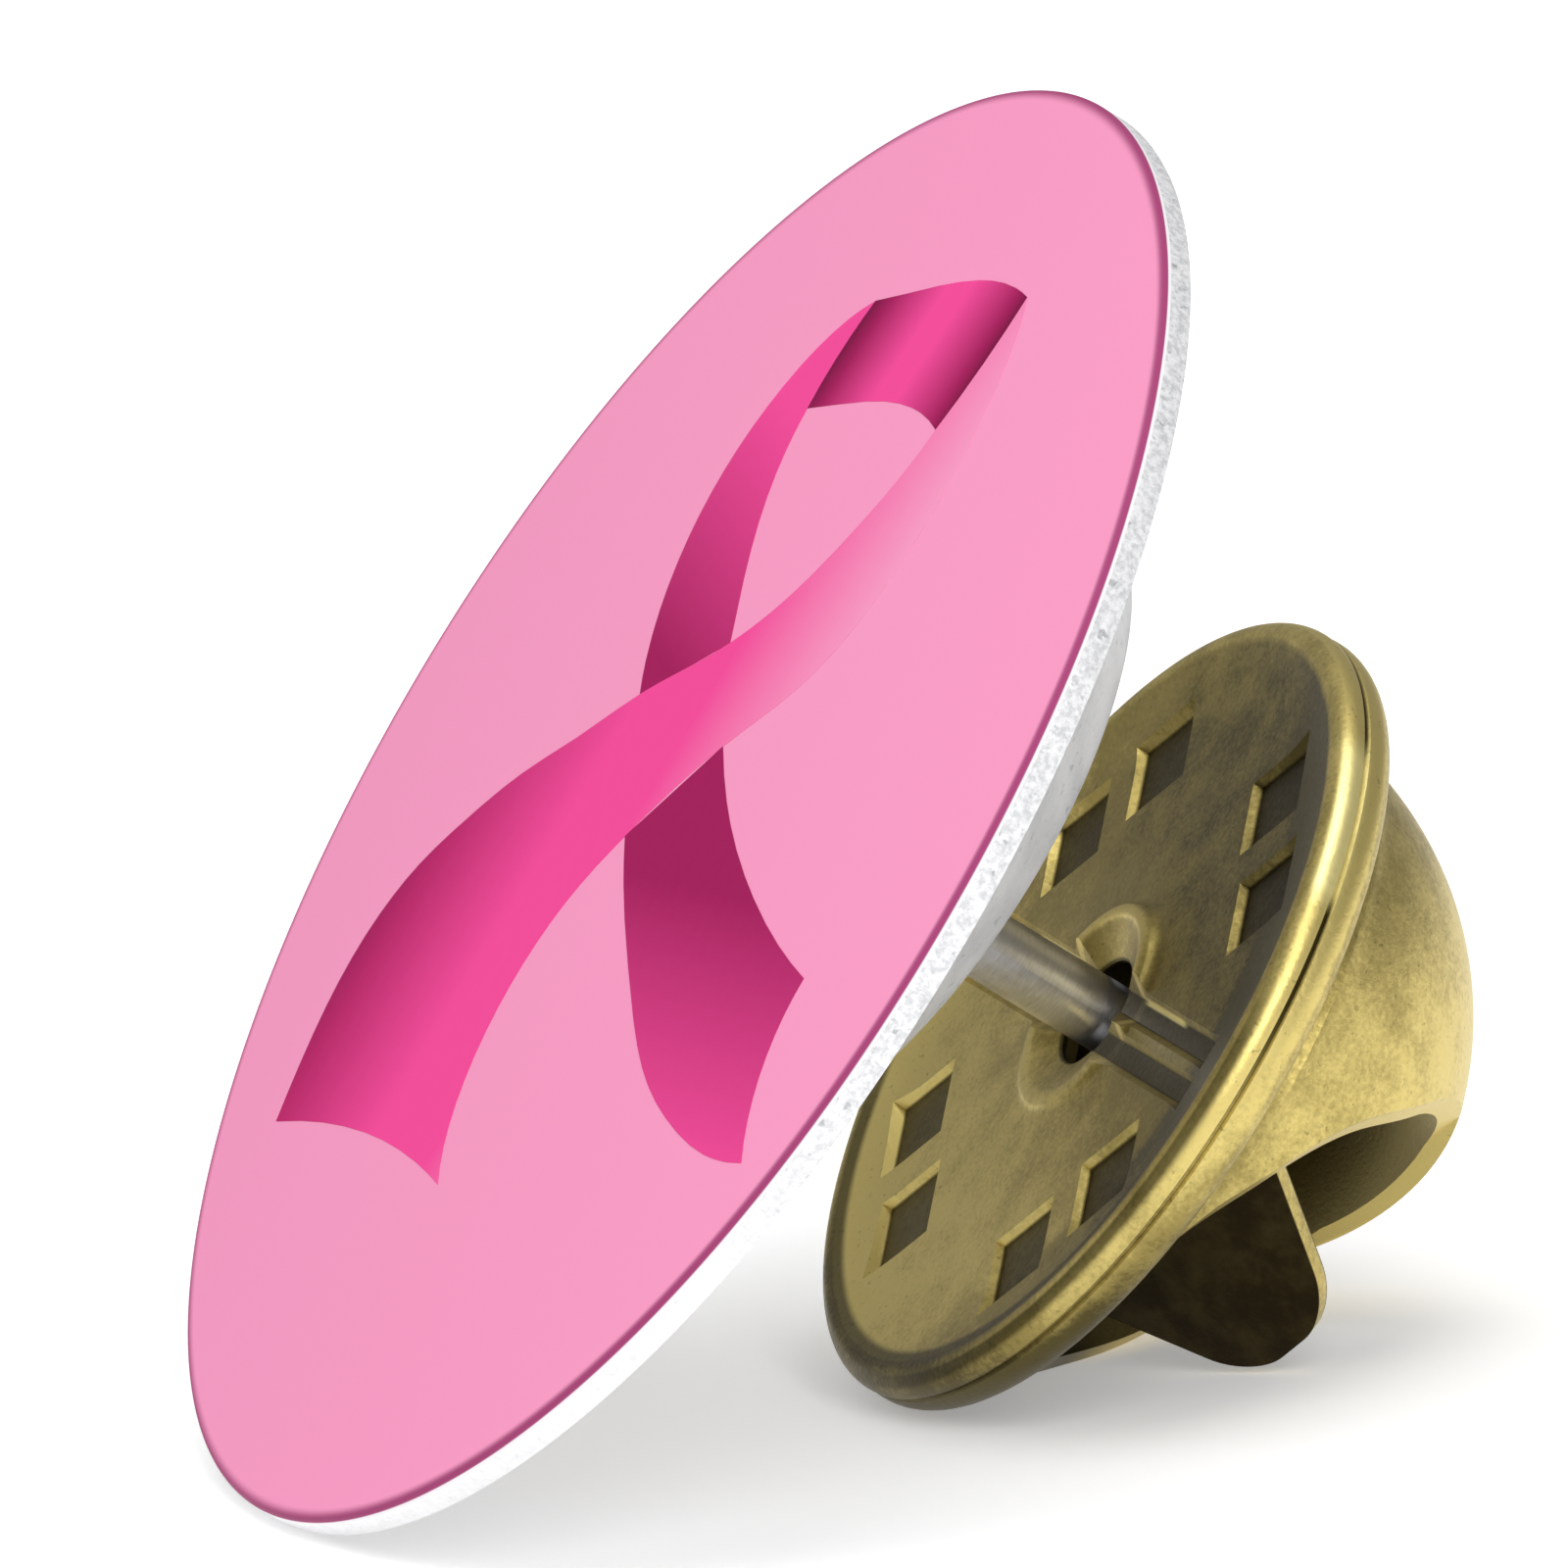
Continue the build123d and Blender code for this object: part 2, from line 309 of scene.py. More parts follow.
class Finish:
    """One finish of the pin: its shader, and the nodes that vary it over the surface."""

    def __init__(self, name, **constants):
        self.material = bpy.data.materials.new(name)
        self.material.use_nodes = True
        self.nodes = self.material.node_tree.nodes
        self.links = self.material.node_tree.links
        self.shader = self.nodes["Principled BSDF"]
        for socket, value in constants.items():
            self.shader.inputs[socket.replace("_", " ").title()].default_value = value

    def add(self, kind, settings, inputs, output=0):
        """Adds a node, with its settings first and then its inputs, and gives one of its outputs."""
        node = self.nodes.new(kind)
        for name, value in settings.items():
            setattr(node, name, value)
        for socket, value in inputs.items():
            if isinstance(value, Signal):
                self.links.new(value.socket, node.inputs[socket])
            else:
                node.inputs[socket].default_value = value
        return Signal(self, node.outputs[output])

    def point(self, place):
        """The point on the surface in millimetres, as seen from the place that a piece was made in."""
        there = self.add("ShaderNodeTexCoord", {}, {}, "Object")
        location, rotation, scale = place.decompose()
        return self.add("ShaderNodeMapping", {"vector_type": "TEXTURE"}, {
            "Vector": there, "Location": location, "Rotation": rotation.to_euler(), "Scale": scale})

    def parts(self, point):
        """The x, y and z of a point."""
        node = self.add("ShaderNodeSeparateXYZ", {}, {"Vector": point})
        return [Signal(self, socket) for socket in node.socket.node.outputs]

    def noise(self, point, scale, detail=3.0, roughness=0.6, stretch=(1, 1, 1)):
        """Cloudy variation from 0 to 1."""
        pulled = self.add("ShaderNodeMapping", {}, {"Vector": point, "Scale": stretch})
        return self.add("ShaderNodeTexNoise", {}, {
            "Vector": pulled, "Scale": scale, "Detail": detail, "Roughness": roughness})

    def rise(self, value, low, high):
        """0 below one value, 1 above another, and a smooth rise between them."""
        return self.add("ShaderNodeMapRange", {"interpolation_type": "SMOOTHSTEP"}, {
            "Value": value, "From Min": low, "From Max": high})

    def near(self, value, middle, inner, outer):
        """1 close to a middle value, falling to 0 further from it."""
        return 1 - self.rise((value - middle).size(), inner, outer)

    def blend(self, share, first, second):
        """One colour going over into another."""
        return self.add("ShaderNodeMix", {"data_type": "RGBA"}, {0: share, 6: first, 7: second}, 2)

    def ramp(self, value, stops):
        """A colour for each value, smooth between stops of value and colour."""
        low, high = stops[0][0], stops[-1][0]
        share = (value - low) * (1 / (high - low))
        node = self.nodes.new("ShaderNodeValToRGB")
        elements = node.color_ramp.elements
        while len(elements) < len(stops):
            elements.new(0.5)
        for element, (stop, colour) in zip(elements, stops):
            element.position = (stop - low) / (high - low)
            element.color = colour
        self.links.new(share.socket, node.inputs[0])
        return Signal(self, node.outputs[0])

    def bumps(self, height, depth, strength):
        """Relief of a depth in millimetres."""
        relief = self.add("ShaderNodeBump", {}, {
            "Height": height, "Distance": depth * millimetre, "Strength": strength})
        self.feed("Normal", relief)

    def feed(self, socket, value):
        """Gives the shader a value that varies over the surface."""
        self.links.new(value.socket, self.shader.inputs[socket])


pink = paint(244, 153, 193)
edge_shade_pink = paint(158, 66, 112)
hot_pink = paint(241, 73, 152)
deep_pink = paint(184, 34, 104)
maroon = paint(160, 20, 88)
dark_maroon = paint(122, 6, 64)
print_side = paint(236, 232, 235)
print_shine = 0.05
print_roughness = 0.4
print_grain_size = 3.0


def print_finish(name):
    """Satin print with hardly any shine."""
    finish = Finish(name)
    finish.shader.inputs["Specular IOR Level"].default_value = print_shine
    return finish


def face_print_finish():
    """Satin pink print, darker where it rounds over the edge, a painted shade."""
    finish = print_finish("pink_print")
    point = finish.point(pin_place)
    x, y, z = finish.parts(point)
    radius = (x * x + y * y) ** 0.5
    # painted shade: the print goes darker towards its rounded edge
    edge = finish.rise(radius, face_radius - 0.2, face_radius - 0.02)
    side = 1 - finish.rise(z, -0.085, -0.06)
    grain = finish.noise(point, print_grain_size)
    front = finish.blend(edge, pink, edge_shade_pink)
    finish.feed("Base Color", finish.blend(side, front, print_side))
    finish.feed("Roughness", print_roughness + grain * 0.1)
    finish.bumps(finish.noise(point, 9.0), 0.002, 0.4)
    return finish


def ribbon_finish(name, direction, stops):
    """Print that goes from one pink to another along a direction on the face."""
    finish = print_finish(name)
    point = finish.point(pin_place)
    x, y = finish.parts(point)[:2]
    along = (x * direction[0] + y * direction[1]) * (1 / face_radius)
    grain = finish.noise(point, print_grain_size)
    finish.feed("Base Color", finish.ramp(along, stops))
    finish.feed("Roughness", print_roughness + grain * 0.1)
    return finish


metal_speck = paint(110, 113, 116)
metal_grey = paint(208, 209, 211)
metal_cloud = paint(218, 219, 221)
metal_light = paint(236, 236, 238)
metal_white = paint(244, 244, 245)


def base_finish():
    """Pale cast metal: speckled at the rim, most of all at its top, and softly clouded on the flare;
    towards the rim's bottom it is painted whiter with fewer specks, a painted highlight.
    """
    finish = Finish("pale_cast_metal", metallic=0.35)
    point = finish.point(pin_place)
    y, z = finish.parts(point)[1:]
    clouds = finish.noise(point, 1.1, 4.0)
    grain = finish.noise(point, 9.0, 5.0, 0.7)
    specks = finish.rise(finish.noise(point, 5.5, 2.0, 0.5), 0.62, 0.74)
    rim = finish.rise(z, -back_depth - 0.25, -back_depth + 0.05)
    # painted highlight: towards the rim's bottom the grey and the specks give way to white
    upper = finish.rise(y, -6.5, -1.0)
    clouded = finish.blend(finish.rise(clouds, 0.3, 0.7), metal_cloud, metal_light)
    rough = finish.blend(finish.rise(grain, 0.35, 0.62), metal_grey, metal_white)
    edge = finish.blend(0.25 + upper * 0.75, metal_white, rough)
    skin = finish.blend(rim, clouded, edge)
    marked = finish.blend(specks * (0.3 + rim * 0.2) * (0.2 + upper * 0.8), skin, metal_speck)
    finish.feed("Base Color", marked)
    finish.feed("Roughness", 0.42 + grain * 0.25)
    finish.bumps(grain + clouds * 1.5, 0.025, 0.5)
    return finish


wire_grey = paint(170, 170, 174)
wire_light = paint(222, 222, 226)


def post_finish():
    """Drawn steel wire, with fine rings round it."""
    finish = Finish("drawn_wire", metallic=1.0)
    point = finish.point(pin_place)
    lines = finish.noise(point, 12.0, 3.0, 0.6, (0.4, 0.4, 4.0))
    finish.feed("Base Color", finish.blend(lines, wire_grey, wire_light))
    finish.feed("Roughness", 0.24 + lines * 0.2)
    finish.bumps(lines, 0.004, 0.5)
    return finish


brass_bright = paint(255, 240, 165)
brass_light = paint(220, 200, 124)
brass_middle = paint(164, 147, 86)
brass_dark = paint(96, 86, 50)
brass_deep = paint(50, 42, 16)
wing_shade_dark = paint(44, 36, 20)
wing_shade_brown = paint(64, 55, 31)


def toward_upper_right(x, y):
    """How far a point of the clutch lies towards its upper right."""
    return x * 0.35 - y * 0.94


def shaded_and_tarnished_brass(finish, point, shade):
    """Brass colour between light and dark by a shade from 0 to 1, clouded and speckled; the shade that
    callers give it is mostly painted light and shade.
    """
    clouds = finish.noise(point, 1.3, 4.0, 0.6)
    grain = finish.noise(point, 11.0, 4.0, 0.7)
    specks = finish.rise(finish.noise(point, 10.0, 2.0, 0.5), 0.64, 0.78)
    cloudy = shade + (clouds - 0.5) * 0.7 + (grain - 0.5) * 0.6
    light_half = finish.blend(finish.rise(cloudy, 0.0, 0.5), brass_light, brass_middle)
    metal = finish.blend(finish.rise(cloudy, 0.45, 1.0), light_half, brass_dark)
    finish.bumps(grain + clouds, 0.012, 0.6)
    finish.feed("Roughness", 0.3 + grain * 0.22)
    return finish.blend(specks * 0.4, metal, brass_deep)


def plate_finish():
    """Brass painted with light and shade: darker at the upper right as a painted shade, bright on raised
    lines as painted highlights, and dark in pits and creases, the pits partly patina and partly painted
    shade, the creases painted shade.
    """
    finish = Finish("plate_brass", metallic=1.0)
    point = finish.point(clutch_place)
    x, y, z = finish.parts(point)
    radius = (x * x + y * y) ** 0.5
    rim = finish.rise(radius, rim_foot_radius, outer_radius - rim_crest_radius)
    behind_seam = finish.rise(z, seam_height - 0.02, seam_height + 0.12)
    top = 1 - finish.rise(y, -3.5, 3.0)

    # painted shade and highlight on the face: darker towards the upper right and on the dish's right,
    # lighter on the dish's left, and a painted highlight on the lip ring that fades on its lower side
    upper_right = finish.rise(toward_upper_right(x, y), -3.5, 4.0)
    dish = finish.rise(radius, dish_start, dish_start + 0.5)
    lip = finish.near(radius, lip_ring_radius, 0.04, 0.16) * (1 - finish.rise(y, -0.4, 0.8) * 0.75)
    face_shade = 0.1 + upper_right * 0.7 + dish * (finish.rise(x, -2.0, 5.0) * 0.6 - 0.15) - lip * 0.6

    # painted light on the rim: a painted highlight on its outer edge at the top, a little painted shade
    # behind the seam, and painted shade on its underside and at its bottom
    edge = finish.rise(radius, outer_radius - 0.1, outer_radius - 0.03)
    underside = finish.rise(y, 0.5, 4.5) * finish.rise(z, 0.2, 0.55)
    bottom = finish.rise(y, 3.6, 5.4)
    rim_shade = 0.22 - edge * top * 0.4 + behind_seam * (0.05 + top * 0.1) + underside * 0.75 + bottom * 0.7
    metal = shaded_and_tarnished_brass(finish, point, face_shade * (1 - rim) + rim_shade * rim)

    # darkening: in the pits partly patina and partly painted shade, on the seam partly the joint's own dark
    # and partly painted shade that fades towards the bottom, and painted shade in the creases
    pit_floor = plate_sink + diamond_depth
    pit = finish.rise(z, pit_floor - 0.04, pit_floor - 0.005) * (1 - rim)
    seam = finish.near(z, seam_height, 0.02, 0.06) * rim * (1 - finish.rise(y, -2.5, 0.5))
    inner_crease = finish.near(radius, rim_foot_radius, 0.06, 0.2) * finish.rise(y, -0.5, 3.0)
    outer_crease = finish.near(radius, outer_radius - 0.12, 0.04, 0.1) * (1 - behind_seam)
    outer_crease = outer_crease * finish.rise(y, -2.5, -0.5) * finish.rise(x, -1.0, 2.0)
    creases = inner_crease * 0.8 + outer_crease * 0.75
    dark = finish.blend(pit * 0.85 + seam * 0.95 + creases, metal, brass_deep)

    # painted highlights: a bright line along the upper groove's edge and a bright strip on the rim's crest
    # at the upper right
    groove_edge = finish.near(y, -0.5 * (groove_spacing + groove_width), 0.02, 0.06)
    groove_edge = groove_edge * finish.near(x.size(), 2.3, 0.7, 1.0)
    strip = finish.near(y, -3.9, 0.8, 1.2) * finish.rise(x, 0.5, 2.0) * (1 - behind_seam)
    strip = strip * finish.rise(radius, outer_radius - 0.15, outer_radius - 0.07)
    finish.feed("Base Color", finish.blend(groove_edge + strip, dark, brass_bright))
    return finish


def cap_finish():
    """Brass painted with light and shade: lighter above the neck and towards the dome's top, a little
    darker towards the upper right, a painted shade inside the dome that lightens to one side, and a painted
    shade at the foot of its skirt on the lower side.
    """
    finish = Finish("cap_brass", metallic=1.0)
    point = finish.point(clutch_place)
    x, y, z = finish.parts(point)
    from_center = (x * x + y * y + (z - dome_center_height) ** 2) ** 0.5
    inside = 1 - finish.rise(from_center, dome_radius - 0.06, dome_radius - 0.02)
    # painted light and shade on the outside: lighter above the neck and towards the top, darker towards the
    # upper right
    above_neck = finish.rise(z, shoulder_height, shoulder_height + 0.4)
    upper_side = finish.rise(toward_upper_right(x, y), -1.5, 4.5)
    dome_top = finish.rise(z, 2.0, 4.2)
    shade = 0.28 - above_neck * 0.1 + upper_side * 0.08 - dome_top * 0.2
    # painted shade low on the cap's lower side
    lower = finish.rise(y, 3.2, 4.2) * (1 - finish.rise(z, 2.6, 3.6))
    metal = shaded_and_tarnished_brass(finish, point, shade)
    # painted shade inside the dome, going lighter towards one side
    inner = finish.blend(finish.rise(x, -3.4, 0.2), brass_dark, brass_light)
    lined = finish.blend(inside * above_neck * 0.9, metal, inner)
    finish.feed("Base Color", finish.blend(lower * 0.85, lined, brass_deep))
    return finish


def wing_finish(name, place):
    """Nearly black on the sheet's faces, a painted shade, and brass along its edges."""
    finish = Finish(name, metallic=1.0)
    point = finish.point(place)
    y, z = finish.parts(point)[1:]
    across = (y - heel_radius) * math.cos(wing_lean) - (z - foot_height) * math.sin(wing_lean)
    edge = 1 - finish.rise(across.size(), wing_thickness / 2 - 0.04, wing_thickness / 2)
    metal = shaded_and_tarnished_brass(finish, point, 0.25)
    # painted shade: the sheet's faces are painted nearly black, clouded between two dark browns
    clouds = finish.noise(point, 1.6, 4.0)
    sheet_shade = finish.blend(finish.rise(clouds, 0.35, 0.7), wing_shade_dark, wing_shade_brown)
    finish.feed("Base Color", finish.blend(edge, sheet_shade, metal))
    return finish


# The printed face
def make_face_print():
    """The thin printed disc, with a rounded front edge."""
    bpy.ops.mesh.primitive_cylinder_add(
        vertices=face_corners, radius=face_radius, depth=print_thickness,
        location=(0, 0, -print_thickness / 2))
    piece = new_piece()
    pick(piece, "EDGE", lambda point, normal: abs(point.z) < 0.001)
    bpy.ops.mesh.bevel(offset=print_edge_round, segments=5, affect="EDGES")
    bpy.ops.object.mode_set(mode="OBJECT")
    set_in_place(piece, "face_print_disc", pin_place, face_print_finish())
    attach(piece, "pin")
    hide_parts("face_print")


def make_ribbon_stretch(node, finish):
    """One printed stretch of the ribbon, as flat as ink."""
    piece = bpy.data.objects.new(node + "_print", frame["nodes"][node].data.copy())
    bpy.context.scene.collection.objects.link(piece)
    only(piece)
    bpy.ops.mesh.customdata_custom_splitnormals_clear()
    bpy.ops.object.mode_set(mode="EDIT")
    close_up(meeting_points * millimetre)
    bpy.ops.object.mode_set(mode="OBJECT")
    piece.data.transform(pin_place @ Matrix.Diagonal((1, 1, ink_share, 1)) @ pin_place.inverted())
    set_in_place(piece, node + "_print", Matrix.Identity(4), finish)
    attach(piece, "pin")
    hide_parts(node)


def make_ribbon():
    """The looped ribbon's four stretches, each with its own run of colour."""
    make_ribbon_stretch("ribbon_fold", ribbon_finish("fold_print", (1.0, -0.12), [
        (-0.37, dark_maroon), (-0.33, maroon), (-0.19, hot_pink), (-0.12, hot_pink), (0.03, maroon),
        (0.06, dark_maroon)]))
    make_ribbon_stretch("ribbon_back_strand", ribbon_finish("back_strand_print", (0.15, 1.0), [
        (0.04, maroon), (0.1, maroon), (0.44, hot_pink)]))
    make_ribbon_stretch("ribbon_front_strand", ribbon_finish("front_strand_print", (1.0, 0.0), [
        (-0.68, maroon), (-0.6, deep_pink), (-0.28, hot_pink), (-0.08, hot_pink), (0.25, pink)]))
    make_ribbon_stretch("ribbon_back_tail", ribbon_finish("back_tail_print", (0.12, -1.0), [
        (0.0, maroon), (0.1, maroon), (0.47, hot_pink)]))


# The pale metal back
def smooth_sections(sections, steps):
    """The sections with steps between them, on a smooth curve through all of them."""
    names = ("height", "radius", "rise")
    points = [Vector([section[name] for name in names]) for section in sections]
    places = [0.0]
    for here, there in zip(points, points[1:]):
        places.append(places[-1] + (there - here).length)
    slopes = []
    for index in range(len(points)):
        low, high = max(index - 1, 0), min(index + 1, len(points) - 1)
        slopes.append((points[high] - points[low]) / (places[high] - places[low]))
    smooth = [points[0]]
    for index in range(len(points) - 1):
        run = places[index + 1] - places[index]
        for step in range(1, steps + 1):
            t = step / steps
            smooth.append(
                points[index] * (2 * t ** 3 - 3 * t ** 2 + 1)
                + slopes[index] * run * (t ** 3 - 2 * t ** 2 + t)
                + points[index + 1] * (3 * t ** 2 - 2 * t ** 3)
                + slopes[index + 1] * run * (t ** 3 - t ** 2))
    return smooth


def rounded_top(sections):
    """The sections with the last one's sharp corner rounded towards the flat top."""
    corner = sections[-1]
    kept = [section for section in sections if (section - corner).length > flare_top_round]
    start = corner + (kept[-1] - corner).normalized() * flare_top_round
    end = corner - Vector((0, flare_top_round, 0))
    for step in range(top_steps + 1):
        t = step / top_steps
        kept.append(start * (1 - t) ** 2 + corner * 2 * t * (1 - t) + end * t ** 2)
    return kept


def make_base():
    """The metal disc under the face and its flare, drawn out ring by ring, with the post's socket."""
    bpy.ops.mesh.primitive_circle_add(
        vertices=face_corners, radius=face_radius, fill_type="NGON", location=(0, 0, -print_thickness))
    piece = new_piece()
    draw_out((0, 0, -rim_thickness + rim_round), 1)
    draw_out((0, 0, -0.7 * rim_round), 1 - 0.3 * rim_round / face_radius)
    draw_out((0, 0, -0.3 * rim_round), 1 - 0.7 * rim_round / face_radius)
    radius = face_radius - rim_round
    height = 0.0
    rise = 0.0
    for next_height, next_radius, next_rise in rounded_top(smooth_sections(flare_sections, flare_steps)):
        draw_out((0, next_rise - rise, height - next_height), next_radius / radius, (0, next_rise, 0))
        height, radius, rise = next_height, next_radius, next_rise
    close_up()
    bpy.ops.object.mode_set(mode="OBJECT")
    bpy.ops.mesh.primitive_cylinder_add(
        vertices=hole_corners, radius=socket_radius, depth=2 * socket_depth,
        location=(0, post_rise, -flare_top_depth))
    cut(piece, bpy.context.object)
    set_in_place(piece, "flared_base", pin_place, base_finish())
    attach(piece, "pin")
    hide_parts("base")


def finish_post():
    """The post keeps its solid and gets a drawn-wire finish."""
    post = frame["nodes"]["post"]
    post.data.materials.clear()
    post.data.materials.append(post_finish().material)


# The clutch's plate
def plate_profile():
    """The plate's section: lip, dished face, rounded rim, seam, and bead rolled over the cap's flange."""
    slope = math.radians(dish_slope)
    crest_ring_radius = outer_radius - rim_crest_radius
    dish_radius = (crest_ring_radius - rim_crest_radius * math.sin(slope) - dish_start) / math.sin(slope)
    crest_height = plate_sink - dish_radius * (1 - math.cos(slope)) + rim_crest_radius * math.cos(slope)
    return [
        (hole_radius, plate_back),
        (hole_radius, funnel_height + 0.05),
        (hole_radius + 0.05, funnel_height),
        *arc((lip_ring_radius, lip_height), lip_radius, 225, 335, 10),
        (lip_ring_radius + 1.25 * lip_radius, plate_sink - 0.03),
        (lip_ring_radius + 1.7 * lip_radius, plate_sink),
        (0.5 * (lip_ring_radius + dish_start), plate_sink),
        *arc((dish_start, plate_sink - dish_radius), dish_radius, 90, 90 - dish_slope, 7),
        *arc((crest_ring_radius, crest_height), rim_crest_radius, -90 - dish_slope, 10, 14)[1:],
        (outer_radius - seam_depth, seam_height - 0.2 * seam_width),
        (outer_radius - seam_depth, seam_height + 0.2 * seam_width),
        *arc((bead_ring_radius, bead_height), bead_radius, -12, 157, 18),
        (pocket_radius, pocket_height),
        (pocket_radius, plate_back),
    ]


def diamond_tool(angle):
    """What presses one diamond pit: a square that narrows as it goes in."""
    floor_height = plate_sink + diamond_depth
    depth = tool_clearance + diamond_depth
    bpy.ops.mesh.primitive_cone_add(
        vertices=4, radius1=diamond_across / 2 + tool_clearance, radius2=diamond_across / 2 - diamond_depth,
        depth=depth,
        location=(diamond_circle_radius * math.cos(angle), diamond_circle_radius * math.sin(angle),
                  floor_height - depth / 2))
    return bpy.context.object


def groove_tool(side):
    """What presses one of the grooves beside the slot, with sloping walls."""
    floor_height = plate_sink + groove_depth
    depth = tool_clearance + groove_depth
    bpy.ops.mesh.primitive_cube_add(size=1, location=(0, side, floor_height - depth / 2))
    tool = new_piece()
    bpy.ops.transform.resize(value=(groove_length, groove_width, depth))
    pick(tool, "FACE", lambda point, normal: normal.z < -0.5)
    spread = 2 * depth * groove_wall_slope
    bpy.ops.transform.resize(value=(1 + spread / groove_length, 1 + spread / groove_width, 1))
    bpy.ops.object.mode_set(mode="OBJECT")
    return tool


def lower_lip(piece):
    """Presses the lip flatter on the plate's lower side, a little more with each step downwards."""
    bpy.ops.object.mode_set(mode="EDIT")
    for start in lip_steps:
        pick(piece, "EDGE", lambda point, normal: (
            point.y > start and point.z < plate_sink
            and math.hypot(point.x, point.y) < lip_ring_radius + 2 * lip_radius))
        bpy.ops.transform.resize(value=(1, 1, lip_press), center_override=(0, 0, plate_sink))
    bpy.ops.object.mode_set(mode="OBJECT")


def make_plate():
    """The round plate with its pressed diamonds and grooves."""
    piece = turned(plate_profile())
    lower_lip(piece)
    for side in (-groove_spacing / 2, groove_spacing / 2):
        cut(piece, groove_tool(side))
    for pair in range(diamond_pairs):
        for side in (-diamond_half_spread, diamond_half_spread):
            turn = (pair + 0.5) * 360 / diamond_pairs + diamond_turn + side
            cut(piece, diamond_tool(-math.radians(turn)))
    only(piece)
    bpy.ops.object.mode_set(mode="EDIT")
    bpy.ops.mesh.select_all(action="SELECT")
    bpy.ops.mesh.fill_holes(sides=12)
    bpy.ops.mesh.normals_make_consistent(inside=False)
    bpy.ops.object.mode_set(mode="OBJECT")
    set_in_place(piece, "clutch_face_plate", clutch_place, plate_finish())
    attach(piece, "clutch")
    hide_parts("clutch_plate")


# The clutch's cap
def window_tool(sill, turn):
    """What opens one side of the dome: a block above a curved sill, across the whole cap."""
    above = 2 * dome_radius
    bpy.ops.curve.primitive_bezier_curve_add()
    tool = bpy.context.object
    curve = tool.data
    curve.dimensions = "2D"
    curve.fill_mode = "BOTH"
    curve.extrude = dome_radius
    spline = curve.splines[0]
    corners = [(sill[-1][0], above), (sill[0][0], above)]
    outline = sill + corners
    spline.bezier_points.add(len(outline) - len(spline.bezier_points))
    for index, (knot, point) in enumerate(zip(spline.bezier_points, outline)):
        knot.co = (*point, 0)
        inner = 0 < index < len(sill) - 1
        knot.handle_left_type = "AUTO" if inner else "VECTOR"
        knot.handle_right_type = "AUTO" if inner else "VECTOR"
    spline.use_cyclic_u = True
    only(tool)
    bpy.ops.object.convert(target="MESH")
    tool = new_piece()
    close_up()
    bpy.ops.object.mode_set(mode="OBJECT")
    tool.matrix_world = Matrix.Rotation(math.radians(turn), 4, "Z") @ Matrix.Rotation(math.pi / 2, 4, "X")
    only(tool)
    bpy.ops.object.transform_apply(location=True, rotation=True, scale=True)
    return tool


def make_cap():
    """The domed cap: a wall turned over the dome, with a window on each side of its strap."""
    dome_center = (0, dome_center_height)
    start = math.degrees(math.asin((shoulder_height + 0.15 - dome_center_height) / dome_radius))
    piece = turned([
        *arc(dome_center, dome_radius, pole_angle, start, 40),
        (shoulder_radius - 0.02, shoulder_height + 0.06),
        (shoulder_radius, shoulder_height),
        (shoulder_radius - 0.02, shoulder_height - 0.06),
        (neck_radius + 0.02, neck_height + 0.16),
        (neck_radius, neck_height),
        (0.5 * (skirt_radius + neck_radius), 0.5 * (flange_height + neck_height) + 0.06),
        (skirt_radius, flange_height + 0.08),
        (skirt_radius + 0.08, flange_height),
        (flange_radius, flange_height),
        (flange_radius, flange_height - cap_wall),
        (skirt_radius - cap_wall, flange_height - cap_wall),
        (neck_radius - cap_wall, neck_height),
        *arc(dome_center, dome_radius - cap_wall, start, pole_angle, 36),
    ], closed=False)
    only(piece)
    bpy.ops.object.mode_set(mode="EDIT")
    between_poles = dome_center_height + dome_radius - cap_wall / 2
    for low, high in ((0, between_poles), (between_poles, 2 * dome_radius)):
        pick(piece, "EDGE", lambda point, normal: point.xy.length < pole_radius and low < point.z < high)
        bpy.ops.mesh.merge(type="CENTER")
    close_up()
    bpy.ops.object.mode_set(mode="OBJECT")
    cut(piece, window_tool([near_strap_edge] + window_sill, wing_turn))
    cut(piece, window_tool([far_strap_edge] + window_sill[1:], wing_turn + 180))
    set_in_place(piece, "clutch_dome_cap", clutch_place, cap_finish())
    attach(piece, "clutch")
    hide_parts("clutch_cap")


# The wings
def blade_half_width(along):
    """Half the blade's width at a distance from its heel."""
    if along < shoulder_low:
        share = 0.5 - 0.5 * math.cos(math.pi * along / shoulder_low)
        return jaw_half_width + (shoulder_half_width - jaw_half_width) * share
    if along < shoulder_high:
        return shoulder_half_width
    share = (along - shoulder_high) / (wing_reach - shoulder_high)
    width = shoulder_half_width + (tip_half_width - shoulder_half_width) * share
    into_round = max(0.0, along - (wing_reach - tip_round))
    return width - (tip_round - math.sqrt(max(0.0, tip_round ** 2 - into_round ** 2)))


